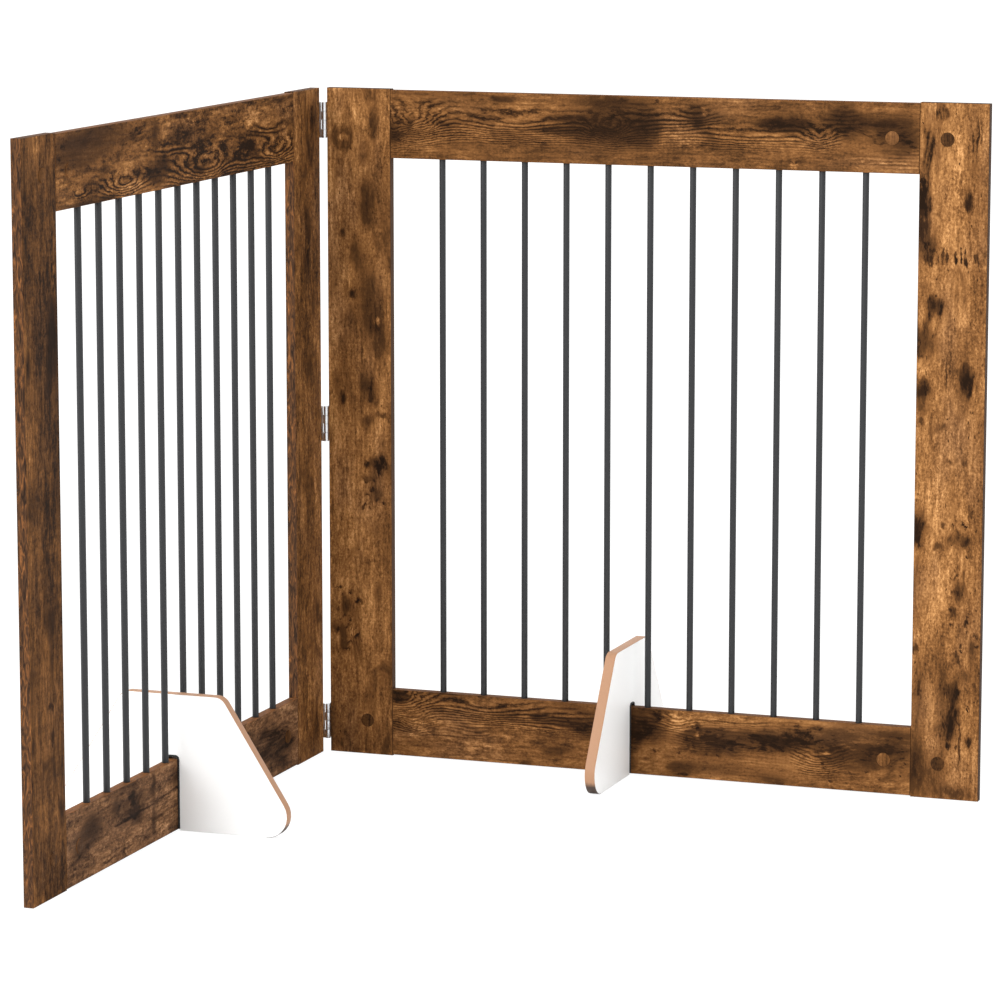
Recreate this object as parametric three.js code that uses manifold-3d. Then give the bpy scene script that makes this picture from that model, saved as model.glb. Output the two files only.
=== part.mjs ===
// A free-standing folding pet gate: two square panels of boards and upright rods,
// joined along one edge by three butt hinges and held up by two slotted feet.
// Millimetres, +Z up. The gate stands on the plane z = 0, open to a right angle.

import * as THREE from 'three';
import { mergeVertices } from 'three/addons/utils/BufferGeometryUtils.js';
import Module from 'manifold-3d';

const wasm = await Module();
wasm.setup();

// ---- Driving dimensions ----------------------------------------------------------

const panelWidth = 800;
const panelHeight = 800;
const boardThickness = 12;
const stileWidth = 80;
const railHeight = 80;
const railSetback = 1.2;        // the rails stop short of the stiles' ends by this much
const edgeRadius = 0.8;         // softened edges of every board
const jointGap = 0.3;           // between a rail's end and its stile

const rodCount = 11;
const rodEndSpace = 63.5;       // from a stile to the middle of the nearest rod
const rodDiameter = 7.5;
const rodSeatDepth = 15;        // how far a rod goes into a rail
const rodSideClearance = 0.25;
const rodEndClearance = 0.5;

const camDiameter = 15;
const camFloor = 1.4;           // board left behind a cam's bore
const camRecess = 0.8;          // from the board's inner face to the cam
const camSetback = 32;          // from the joint line to a cam's centre
const boltDiameter = 6;
const camClearance = 0.3;

const dowelDiameter = 6;
const dowelLength = 30;
const dowelOffset = 22;         // from the bolt's axis towards the panel's middle
const dowelClearance = 0.2;

const hingeHeight = 42;
const hingeEndDistance = 38;    // from a panel's top or bottom to the middle of an end hinge
const knuckleCount = 4;
const knuckleGap = 0.3;
const barrelRadius = 2.9;
const pinRadius = 1.5;
const pinClearance = 0.1;
const leafThickness = 0.9;
const leafBackMargin = 2;       // from a leaf's end to the board's outer face
const leafSeatGap = 0.1;
const leafPairGap = 0.4;        // between the two leaves when the gate is straight
const leafClearance = 0.5;      // between a leaf's notch and the other leaf's knuckle
const pivotForward = 5.3;       // from a panel's inner face to the hinge axis
const hingeScrewDiameter = 3;
const hingeScrewSpacing = 26;

const footHeight = 155;
const footThickness = 12;
const footTopHalf = 60;         // half widths of the trapezoid before its corners are rounded
const footBaseHalf = 158;
const footTopRadius = 15;
const footBaseRadius = 25;
const linerThickness = 1.5;
const linerGap = 0.15;          // between the liner and the foot
const linerProud = 1.2;         // how far the liner stands out of each face of the foot
const linerFloorGap = 2;
const slotSideClearance = 0.5;  // between the rail's face and the liner
const slotTopClearance = 3;     // between the rail's top edge and the liner
const slotCornerRadius = 5;

const rodSides = 16;
const boreSides = 16;
const barrelSides = 20;
const edgeSegments = 2;
const arcSegments = 10;

// ---- Sizes that follow -----------------------------------------------------------

const railLength = panelWidth - 2 * (stileWidth + jointGap);
const rodPitch = (railLength - 2 * (rodEndSpace - jointGap)) / (rodCount - 1);
const railTop = railSetback + railHeight;
const clearHeight = panelHeight - 2 * railTop;
const rodLength = clearHeight + 2 * (rodSeatDepth - rodEndClearance);
const boltHeight = railSetback + railHeight / 2;
const footAcross = panelWidth / 2 - rodPitch / 2;
const boardMiddle = boardThickness / 2;
const camBoreDepth = boardThickness - camFloor;
const camBottom = camBoreDepth - camClearance;
const camThickness = camBottom - camRecess;
const leafOffset = leafPairGap / 2;
const pivotOutset = leafOffset + leafThickness + leafSeatGap;   // from a stile's end face
const leafReach = pivotForward + boardThickness - leafBackMargin;
const hingeHeights = [hingeEndDistance, panelHeight / 2, panelHeight - hingeEndDistance];

// ---- Materials -------------------------------------------------------------------

function finish(color, roughness, metalness) {
  return () => new THREE.MeshStandardMaterial({ color, roughness, metalness });
}

const rusticBoard = finish(0x7a5232, 0.55, 0);
const blackRod = finish(0x2e2e30, 0.45, 0.3);
const brightSteel = finish(0xb9bcc0, 0.3, 1);
const zincAlloy = finish(0x9a9da1, 0.4, 1);
const whiteBoard = finish(0xf4f4f2, 0.5, 0);
const blackLiner = finish(0x121212, 0.8, 0);
const beechDowel = finish(0xcfa878, 0.7, 0);

// ---- Solids ----------------------------------------------------------------------

// A closed three.js geometry as a solid that can be joined and cut.
function solidOf(geometry) {
  const bare = geometry.clone();
  bare.deleteAttribute('normal');
  bare.deleteAttribute('uv');
  const merged = mergeVertices(bare, 1e-4);
  const vertProperties = new Float32Array(merged.attributes.position.array);
  const triVerts = new Uint32Array(merged.index.array);
  return new wasm.Manifold(new wasm.Mesh({ numProp: 3, vertProperties, triVerts }));
}

function geometryOf(solid) {
  const mesh = solid.getMesh();
  const geometry = new THREE.BufferGeometry();
  geometry.setAttribute('position', new THREE.BufferAttribute(new Float32Array(mesh.vertProperties), 3));
  geometry.setIndex(new THREE.BufferAttribute(new Uint32Array(mesh.triVerts), 1));
  geometry.computeVertexNormals();
  return geometry;
}

// A round bar with its middle at the given point, along x, y or z.
function bar(radius, length, sides, axis, x, y, z) {
  const geometry = new THREE.CylinderGeometry(radius, radius, length, sides);
  if (axis === 'x') geometry.rotateZ(Math.PI / 2);
  if (axis === 'z') geometry.rotateX(Math.PI / 2);
  geometry.translate(x, y, z);
  return solidOf(geometry);
}

function block(x0, x1, y0, y1, z0, z1) {
  const geometry = new THREE.BoxGeometry(x1 - x0, y1 - y0, z1 - z0);
  geometry.translate((x0 + x1) / 2, (y0 + y1) / 2, (z0 + z1) / 2);
  return solidOf(geometry);
}

// A board with softened edges, its inner face at y = 0 and its outer face at y = thickness.
function board(x0, x1, z0, z1) {
  const outline = new THREE.Shape();
  outline.moveTo(x0 + edgeRadius, z0 + edgeRadius);
  outline.lineTo(x1 - edgeRadius, z0 + edgeRadius);
  outline.lineTo(x1 - edgeRadius, z1 - edgeRadius);
  outline.lineTo(x0 + edgeRadius, z1 - edgeRadius);
  outline.closePath();
  const geometry = new THREE.ExtrudeGeometry(outline, {
    depth: boardThickness - 2 * edgeRadius,
    bevelThickness: edgeRadius,
    bevelSize: edgeRadius,
    bevelSegments: edgeSegments,
  });
  geometry.rotateX(Math.PI / 2);
  geometry.translate(0, boardThickness - edgeRadius, 0);
  return solidOf(geometry);
}

function cutAll(solid, cutters) {
  return cutters.reduce((left, cutter) => left.subtract(cutter), solid);
}

function mesh(name, material, shape) {
  const geometry = shape.isBufferGeometry ? shape : geometryOf(shape);
  const made = new THREE.Mesh(geometry, material());
  made.name = name;
  return made;
}

// ---- Corner joints ---------------------------------------------------------------

// A corner of a panel: the joint line between stile and rail, which way the rail lies
// from it, the bolt's height and which way the panel's middle lies.
function cornerAt(level, side) {
  const onTop = level === 'top';
  const onLeft = side === 'left';
  return {
    name: `${level}_${side}`,
    joint: onLeft ? stileWidth : panelWidth - stileWidth,
    railSide: onLeft ? 1 : -1,
    height: onTop ? panelHeight - boltHeight : boltHeight,
    inward: onTop ? -1 : 1,
  };
}

const corners = ['bottom', 'top'].flatMap(
  (level) => ['left', 'right'].map((side) => cornerAt(level, side)));

// What one board loses at a corner. side is +1 for the rail's share, -1 for the stile's.
function cornerBores(corner, side) {
  const way = corner.railSide * side;
  const camX = corner.joint + way * camSetback;
  const camBore = bar(
    camDiameter / 2 + camClearance, camBoreDepth + 1, boreSides, 'y',
    camX, (camBoreDepth - 1) / 2, corner.height);
  const boltReach = camSetback + jointGap;
  const boltBore = bar(
    boltDiameter / 2 + camClearance, boltReach, boreSides, 'x',
    corner.joint + way * (camSetback - boltReach / 2), boardMiddle, corner.height);
  const dowelReach = dowelLength / 2 + dowelClearance + jointGap;
  const dowelBore = bar(
    dowelDiameter / 2 + dowelClearance, dowelReach + 1, boreSides, 'x',
    corner.joint + way * (dowelReach - 1) / 2, boardMiddle, corner.height + corner.inward * dowelOffset);
  return [camBore, boltBore, dowelBore];
}

// The double-ended bolt, with the two cam locks that it is drawn tight by.
function connector(corner) {
  const bolt = bar(
    boltDiameter / 2, 2 * camSetback, boreSides, 'x',
    corner.joint, boardMiddle, corner.height);
  const cams = [-1, 1].map((way) => bar(
    camDiameter / 2, camThickness, boreSides, 'y',
    corner.joint + way * camSetback, camBottom - camThickness / 2, corner.height));
  return bolt.add(cams[0]).add(cams[1]);
}

function dowel(corner) {
  return bar(
    dowelDiameter / 2, dowelLength, boreSides, 'x',
    corner.joint, boardMiddle, corner.height + corner.inward * dowelOffset);
}

// ---- One panel -------------------------------------------------------------------

function rodPlaces() {
  const places = [];
  for (let i = 0; i < rodCount; i += 1) {
    places.push(panelWidth / 2 + (i - (rodCount - 1) / 2) * rodPitch);
  }
  return places;
}

function stile(x0, cornerNames) {
  const bores = corners
    .filter((corner) => cornerNames.includes(corner.name))
    .flatMap((corner) => cornerBores(corner, -1));
  return cutAll(board(x0, x0 + stileWidth, 0, panelHeight), bores);
}

// A rail between the stiles, with a blind hole for the end of each rod.
function rail(z0, holeMiddle, cornerNames) {
  const x0 = stileWidth + jointGap;
  const bores = corners
    .filter((corner) => cornerNames.includes(corner.name))
    .flatMap((corner) => cornerBores(corner, 1));
  const holes = rodPlaces().map((x) => bar(
    rodDiameter / 2 + rodSideClearance, 2 * rodSeatDepth, rodSides, 'z', x, boardMiddle, holeMiddle));
  return cutAll(board(x0, x0 + railLength, z0, z0 + railHeight), [...bores, ...holes]);
}

// A panel along +X with its inner face at y = 0. hingeOnLeft names its stiles.
function panel(prefix, hingeOnLeft) {
  const group = new THREE.Group();
  const leftStile = hingeOnLeft ? 'hinge_stile' : 'free_stile';
  const rightStile = hingeOnLeft ? 'free_stile' : 'hinge_stile';
  group.add(mesh(`${prefix}_${leftStile}`, rusticBoard, stile(0, ['bottom_left', 'top_left'])));
  group.add(mesh(
    `${prefix}_${rightStile}`, rusticBoard,
    stile(panelWidth - stileWidth, ['bottom_right', 'top_right'])));
  group.add(mesh(
    `${prefix}_bottom_rail`, rusticBoard,
    rail(railSetback, railTop, ['bottom_left', 'bottom_right'])));
  group.add(mesh(
    `${prefix}_top_rail`, rusticBoard,
    rail(panelHeight - railTop, panelHeight - railTop, ['top_left', 'top_right'])));

  rodPlaces().forEach((x, i) => {
    const rod = new THREE.CylinderGeometry(rodDiameter / 2, rodDiameter / 2, rodLength, rodSides);
    rod.rotateX(Math.PI / 2);
    const made = mesh(`${prefix}_rod_${String(i + 1).padStart(2, '0')}`, blackRod, rod);
    made.position.set(x, boardMiddle, panelHeight / 2);
    group.add(made);
  });

  for (const corner of corners) {
    const hingeEnd = corner.name.endsWith('left') === hingeOnLeft ? 'hinge' : 'free';
    const level = corner.name.startsWith('top') ? 'top' : 'bottom';
    group.add(mesh(`${prefix}_${level}_${hingeEnd}_connector`, zincAlloy, connector(corner)));
    group.add(mesh(`${prefix}_${level}_${hingeEnd}_dowel`, beechDowel, dowel(corner)));
  }
  return group;
}

// ---- Feet ------------------------------------------------------------------------

const linerInnerHalf = boardThickness / 2 + slotSideClearance;
const linerOuterHalf = linerInnerHalf + linerThickness;
const slotHalf = linerOuterHalf + linerGap;
const linerInnerTop = railTop + slotTopClearance;
const linerOuterTop = linerInnerTop + linerThickness;
const slotTop = linerOuterTop + linerGap;

// Adds a rounded corner at `corner`, between the straight runs from `before` and to `after`.
function roundCorner(path, before, corner, after, radius) {
  const into = new THREE.Vector2().subVectors(corner, before).normalize();
  const out = new THREE.Vector2().subVectors(after, corner).normalize();
  const turn = Math.acos(THREE.MathUtils.clamp(into.dot(out), -1, 1));
  const reach = radius * Math.tan(turn / 2);
  const start = corner.clone().addScaledVector(into, -reach);
  const side = Math.sign(into.cross(out));
  const centre = start.clone().add(new THREE.Vector2(-into.y, into.x).multiplyScalar(side * radius));
  const startAngle = Math.atan2(start.y - centre.y, start.x - centre.x);
  path.lineTo(start.x, start.y);
  for (let i = 1; i <= arcSegments; i += 1) {
    const angle = startAngle + side * turn * i / arcSegments;
    path.lineTo(centre.x + radius * Math.cos(angle), centre.y + radius * Math.sin(angle));
  }
}

// The slot's arch with its rounded top corners, drawn from its left foot to its right foot.
function archOver(path, half, base, top, radius) {
  const left = new THREE.Vector2(-half, base);
  const topLeft = new THREE.Vector2(-half, top);
  const topRight = new THREE.Vector2(half, top);
  const right = new THREE.Vector2(half, base);
  path.lineTo(left.x, left.y);
  roundCorner(path, left, topLeft, topRight, radius);
  roundCorner(path, topLeft, topRight, right, radius);
  path.lineTo(right.x, right.y);
}

// A foot is a trapezoid with round corners across the panel, slotted from below.
function footShape() {
  const baseLeft = new THREE.Vector2(-footBaseHalf, 0);
  const baseRight = new THREE.Vector2(footBaseHalf, 0);
  const topRight = new THREE.Vector2(footTopHalf, footHeight);
  const topLeft = new THREE.Vector2(-footTopHalf, footHeight);
  const shape = new THREE.Shape();
  shape.moveTo(-slotHalf, 0);
  archOver(shape, slotHalf, 0, slotTop, slotCornerRadius);
  roundCorner(shape, new THREE.Vector2(slotHalf, 0), baseRight, topRight, footBaseRadius);
  roundCorner(shape, baseRight, topRight, topLeft, footTopRadius);
  roundCorner(shape, topRight, topLeft, baseLeft, footTopRadius);
  roundCorner(shape, topLeft, baseLeft, new THREE.Vector2(-slotHalf, 0), footBaseRadius);
  shape.closePath();
  return shape;
}

function linerShape() {
  const shape = new THREE.Shape();
  shape.moveTo(-linerOuterHalf, linerFloorGap);
  archOver(shape, linerOuterHalf, linerFloorGap, linerOuterTop, slotCornerRadius - linerGap);
  const innerRadius = slotCornerRadius - linerGap - linerThickness;
  const inner = new THREE.Shape();
  inner.moveTo(-linerInnerHalf, linerFloorGap);
  archOver(inner, linerInnerHalf, linerFloorGap, linerInnerTop, innerRadius);
  inner.getPoints().reverse().forEach((point) => shape.lineTo(point.x, point.y));
  shape.closePath();
  return shape;
}

// Stands a profile drawn across the panel upright at the foot's place along it.
function acrossPanel(shape, thickness) {
  const geometry = new THREE.ExtrudeGeometry(shape, { depth: thickness, bevelEnabled: false });
  geometry.rotateX(Math.PI / 2);
  geometry.rotateZ(Math.PI / 2);
  geometry.translate(footAcross - thickness / 2, boardMiddle, 0);
  return solidOf(geometry);
}

function foot(prefix) {
  const group = new THREE.Group();
  const linerWidth = footThickness + 2 * linerProud;
  group.add(mesh(`${prefix}_foot`, whiteBoard, acrossPanel(footShape(), footThickness)));
  group.add(mesh(`${prefix}_foot_liner`, blackLiner, acrossPanel(linerShape(), linerWidth)));
  return group;
}

// ---- Hinges ----------------------------------------------------------------------

const knuckleHeight = (hingeHeight - (knuckleCount - 1) * knuckleGap) / knuckleCount;
const boreRadius = pinRadius + pinClearance;

// A leaf about the hinge axis. It carries every second knuckle, from the top one down, and
// its plate runs along +Y. The same leaf turned over is the other half of the hinge.
function leaf() {
  let solid = block(
    leafOffset, leafOffset + leafThickness, 0, leafReach,
    -hingeHeight / 2, hingeHeight / 2);
  for (let i = 0; i < knuckleCount; i += 1) {
    const middle = hingeHeight / 2 - knuckleHeight / 2 - i * (knuckleHeight + knuckleGap);
    if (i % 2 === 0) {
      solid = solid.add(bar(barrelRadius, knuckleHeight, barrelSides, 'z', 0, 0, middle));
    } else {
      const room = barrelRadius + leafClearance;
      const half = knuckleHeight / 2 + knuckleGap;
      solid = solid.subtract(block(-room, room, -room, room, middle - half, middle + half));
    }
  }
  const holes = [-1, 1].map((way) => bar(
    hingeScrewDiameter / 2, leafThickness + 1, boreSides, 'x',
    leafOffset + leafThickness / 2, pivotForward + boardMiddle, way * hingeScrewSpacing / 2));
  const bore = bar(boreRadius, hingeHeight + 1, barrelSides, 'z', 0, 0, 0);
  return cutAll(solid, [bore, ...holes]);
}

function hinge(level, z) {
  const group = new THREE.Group();
  group.position.set(-pivotOutset, -pivotForward, z);
  group.add(mesh(`${level}_hinge_right_leaf`, brightSteel, leaf()));
  const turned = new THREE.Group();
  turned.setRotationFromAxisAngle(new THREE.Vector3(1, -1, 0).normalize(), Math.PI);
  turned.add(mesh(`${level}_hinge_left_leaf`, brightSteel, leaf()));
  group.add(turned);
  group.add(mesh(`${level}_hinge_pin`, brightSteel, bar(pinRadius, hingeHeight, barrelSides, 'z', 0, 0, 0)));
  return group;
}

// ---- The gate --------------------------------------------------------------------

// The right panel runs along +X and the left panel along -Y, both with their inner face
// towards the corner's inside, and the hinge axis lies on the mirror line between them.
const cornerGap = pivotOutset + pivotForward;

const gate = new THREE.Group();
const rightPanel = panel('right', true);
rightPanel.add(foot('right'));
gate.add(rightPanel);

const leftPanel = panel('left', false);
leftPanel.add(foot('left'));
leftPanel.rotation.z = Math.PI / 2;
leftPanel.position.set(-cornerGap, -cornerGap - panelWidth, 0);
gate.add(leftPanel);

['bottom', 'middle', 'top'].forEach((level, i) => {
  gate.add(hinge(level, hingeHeights[i]));
});

// The origin goes to the middle of the space the gate takes on the floor.
gate.updateMatrixWorld(true);
const floorBox = new THREE.Box3().setFromObject(gate);
const middle = floorBox.getCenter(new THREE.Vector3());
gate.position.set(-middle.x, -middle.y, -floorBox.min.z);

export default gate;
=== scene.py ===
# Looks of the folding pet gate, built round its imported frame.
import math
import random

import bmesh
import bpy
from mathutils import Matrix, Vector


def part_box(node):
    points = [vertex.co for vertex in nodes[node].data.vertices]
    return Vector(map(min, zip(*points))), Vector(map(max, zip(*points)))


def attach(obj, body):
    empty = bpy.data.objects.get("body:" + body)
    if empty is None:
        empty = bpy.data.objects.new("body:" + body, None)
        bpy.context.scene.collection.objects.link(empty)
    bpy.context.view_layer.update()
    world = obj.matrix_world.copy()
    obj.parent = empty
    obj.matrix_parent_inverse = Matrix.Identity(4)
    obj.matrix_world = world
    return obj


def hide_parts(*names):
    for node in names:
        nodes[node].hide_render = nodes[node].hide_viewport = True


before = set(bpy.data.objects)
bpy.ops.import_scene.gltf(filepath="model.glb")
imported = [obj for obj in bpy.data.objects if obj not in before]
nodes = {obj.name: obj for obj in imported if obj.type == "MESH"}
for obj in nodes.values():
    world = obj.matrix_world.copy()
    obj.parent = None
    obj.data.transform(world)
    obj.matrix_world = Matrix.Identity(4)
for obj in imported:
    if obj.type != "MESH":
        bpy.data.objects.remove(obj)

scene = bpy.context.scene


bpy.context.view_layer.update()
mm = 0.001


# node helpers: a value is a number, a tuple or another node's socket

def feed(tree, socket, value):
    if isinstance(value, bpy.types.NodeSocket):
        tree.links.new(value, socket)
    else:
        socket.default_value = value


def addNode(tree, kind, inputs=None, **settings):
    node = tree.nodes.new(kind)
    for name, value in settings.items():
        setattr(node, name, value)
    for name, value in (inputs or {}).items():
        feed(tree, node.inputs[name], value)
    return node


def calc(tree, operation, *values, clamp=False):
    node = addNode(tree, "ShaderNodeMath", operation=operation, use_clamp=clamp)
    for socket, value in zip(node.inputs, values):
        feed(tree, socket, value)
    return node.outputs[0]


def vectorCalc(tree, operation, *values):
    node = addNode(tree, "ShaderNodeVectorMath", operation=operation)
    for socket, value in zip(node.inputs, values):
        feed(tree, socket, value)
    return node.outputs["Value" if operation in ("DOT_PRODUCT", "LENGTH") else "Vector"]


def noise(tree, place, stretch, detail=3, roughness=0.5, distortion=0.0):
    # runs from about -1 to 1
    node = addNode(tree, "ShaderNodeTexNoise", {
        "Vector": vectorCalc(tree, "MULTIPLY", place, stretch), "Scale": 1.0,
        "Detail": detail, "Roughness": roughness, "Distortion": distortion})
    return calc(tree, "MULTIPLY_ADD", node.outputs["Fac"], 3.2, -1.6)


def between(tree, value, low, high, start=0.0, end=1.0):
    node = addNode(tree, "ShaderNodeMapRange", {
        "Value": value, "From Min": low, "From Max": high, "To Min": start, "To Max": end},
        interpolation_type="SMOOTHSTEP")
    return node.outputs[0]


def blendColors(tree, amount, first, second):
    node = addNode(tree, "ShaderNodeMix", data_type="RGBA")
    feed(tree, node.inputs[0], amount)
    feed(tree, node.inputs[6], first)
    feed(tree, node.inputs[7], second)
    return node.outputs[2]


def adjust(tree, color, **changes):
    # changes are Value and Saturation, 1 for none
    return addNode(tree, "ShaderNodeHueSaturation", {"Color": color, **changes}).outputs[0]


def split(tree, vector):
    return addNode(tree, "ShaderNodeSeparateXYZ", {"Vector": vector}).outputs


def join(tree, **parts):
    return addNode(tree, "ShaderNodeCombineXYZ", parts).outputs[0]


def ownPlace(tree):
    return addNode(tree, "ShaderNodeTexCoord").outputs["Object"]


def shade(red, green, blue, gain=1.0):
    # a colour as it is seen on screen, 0 to 255, turned to the linear values that nodes take
    linear = [c / 12.92 if c <= 0.04045 else ((c + 0.055) / 1.055) ** 2.4
              for c in (red / 255, green / 255, blue / 255)]
    return (*[value * gain for value in linear], 1.0)


def palette(tree, value, stops):
    node = addNode(tree, "ShaderNodeValToRGB", {"Fac": value})
    elements = node.color_ramp.elements
    while len(elements) < len(stops):
        elements.new(0.5)
    for element, (place, color) in zip(elements, stops):
        element.position = place
        element.color = color
    return node.outputs["Color"]


def newGroup(name, inputs, outputs):
    tree = bpy.data.node_groups.new(name, "ShaderNodeTree")
    kinds = {"float": "NodeSocketFloat", "vector": "NodeSocketVector", "color": "NodeSocketColor"}
    for label, kind in inputs:
        tree.interface.new_socket(label, in_out="INPUT", socket_type=kinds[kind])
    for label, kind in outputs:
        tree.interface.new_socket(label, in_out="OUTPUT", socket_type=kinds[kind])
    return tree, tree.nodes.new("NodeGroupInput").outputs, tree.nodes.new("NodeGroupOutput").inputs


def useGroup(tree, group, **inputs):
    return addNode(tree, "ShaderNodeGroup", inputs, node_tree=group).outputs


def newMaterial(name):
    material = bpy.data.materials.new(name)
    material.use_nodes = True
    tree = material.node_tree
    return material, tree, tree.nodes["Principled BSDF"]


def addBump(tree, shader, height, strength, distance):
    bump = addNode(tree, "ShaderNodeBump", {"Height": height, "Strength": strength, "Distance": distance})
    tree.links.new(bump.outputs["Normal"], shader.inputs["Normal"])


# the rustic decor of the boards

decor = {
    "warpReach": 0.0080,
    "lightGain": 0.90,
    "stops": [(0.0, (30, 19, 11)), (0.14, (54, 34, 19)), (0.32, (86, 56, 30)), (0.50, (117, 77, 42)),
              (0.66, (146, 100, 57)), (0.82, (180, 128, 77)), (1.0, (216, 160, 103))],
    # noise layers: stretch along, across and through the board, detail, roughness, distortion
    "layers": {
        "broad": ((4, 14, 4), 4, 0.6, 0.4), "patch": ((7, 19, 7), 3, 0.55, 0.0),
        "blot": ((11, 30, 9), 5, 0.7, 0.6), "cloud": ((17, 44, 16), 5, 0.68, 0.5),
        "crumb": ((85, 165, 80), 4, 0.7, 0.3), "streak": ((8, 120, 20), 3, 0.55, 0.5),
        "fibre": ((42, 340, 60), 4, 0.6, 0.2), "speck": ((290, 430, 300), 3, 0.75, 0.0),
        "hatch": ((420, 22, 40), 2, 0.5, 0.0), "pore": ((150, 400, 90), 2, 0.4, 0.5),
        "chip": ((120, 260, 90), 3, 0.65, 0.4),
    },
    # what each board's mottle, grain and speckle work on
    "strengths": {
        "Mottle": {"broad": 0.16, "cloud": 0.17, "patch": 0.06, "crumb": 0.17},
        "Grain": {"fibre": 0.17, "streak": 0.13, "hatch": 0.04},
        "Speckle": {"speck": 0.17},
    },
    # where each effect starts and is full, and its own two ends where they aren't 0 and 1
    "ranges": {
        "darkLine": (0.15, 0.95), "paleLine": (-0.2, -1.0), "roundKnot": (0.15, 1.6),
        "linedPatch": (-0.1, 0.8, 0.0, 0.6), "brokenLine": (-1.0, 0.5, 0.25, 1.0), "faded": (-0.10, -0.95),
        "stained": (0.08, 0.80), "knot": (0.85, 1.7), "loose": (0.10, 1.0), "pore": (0.50, 0.85),
        "worn": (-0.5, 0.7, 0.3, 1.0), "chip": (0.50, 1.0), "cool": (-0.2, 1.0, 0.0, 0.22),
        "gloss": (-1.0, 1.0, 0.50, 0.62),
    },
    # how far each noise layer breaks up the outline of a stain
    "ragged": {"blot": 0.35, "cloud": 0.34, "crumb": 0.46, "fibre": 0.24, "speck": 0.16},
    "raggedReach": 2.1,
    "coolStretch": (9, 26, 9),
    "coolColor": {"Saturation": 0.8, "Value": 0.95},
    "poreDepth": 0.75,
    "sheen": 0.03,
    "lineDepth": 0.34,
    "fadeRise": 0.26,
    "stainDepth": 0.60,
    "knotDepth": 0.27,
    "looseDepth": 0.42,
    "chipRise": 0.22,
    "edgeStops": [(0.0, (46, 34, 27)), (0.30, (76, 53, 37)), (0.52, (108, 71, 43)),
                  (0.74, (144, 93, 54)), (1.0, (184, 129, 84))],
}
decorStops = [(place, shade(*color, decor["lightGain"])) for place, color in decor["stops"]]
edgeStops = [(place, shade(*color, decor["lightGain"])) for place, color in decor["edgeStops"]]


def buildFeatureGroup():
    # one knot, stain, crack or pale patch: adds its rings and its darkness to those before it
    tree, given, out = newGroup("boardFeature", [
        ("Board", "vector"), ("Place", "vector"), ("Reach", "vector"), ("Rings", "float"), ("Stain", "float"),
        ("Rings So Far", "float"), ("Stain So Far", "float")], [("Rings", "float"), ("Stain", "float")])
    away = vectorCalc(tree, "SUBTRACT", given["Board"], given["Place"])
    away = vectorCalc(tree, "DIVIDE", away, given["Reach"])
    near = calc(tree, "EXPONENT", calc(tree, "MULTIPLY", vectorCalc(tree, "DOT_PRODUCT", away, away), -1.0))
    feed(tree, out["Rings"], calc(tree, "MULTIPLY_ADD", near, given["Rings"], given["Rings So Far"]))
    feed(tree, out["Stain"], calc(tree, "MULTIPLY_ADD", near, given["Stain"], given["Stain So Far"]))
    return tree


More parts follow.
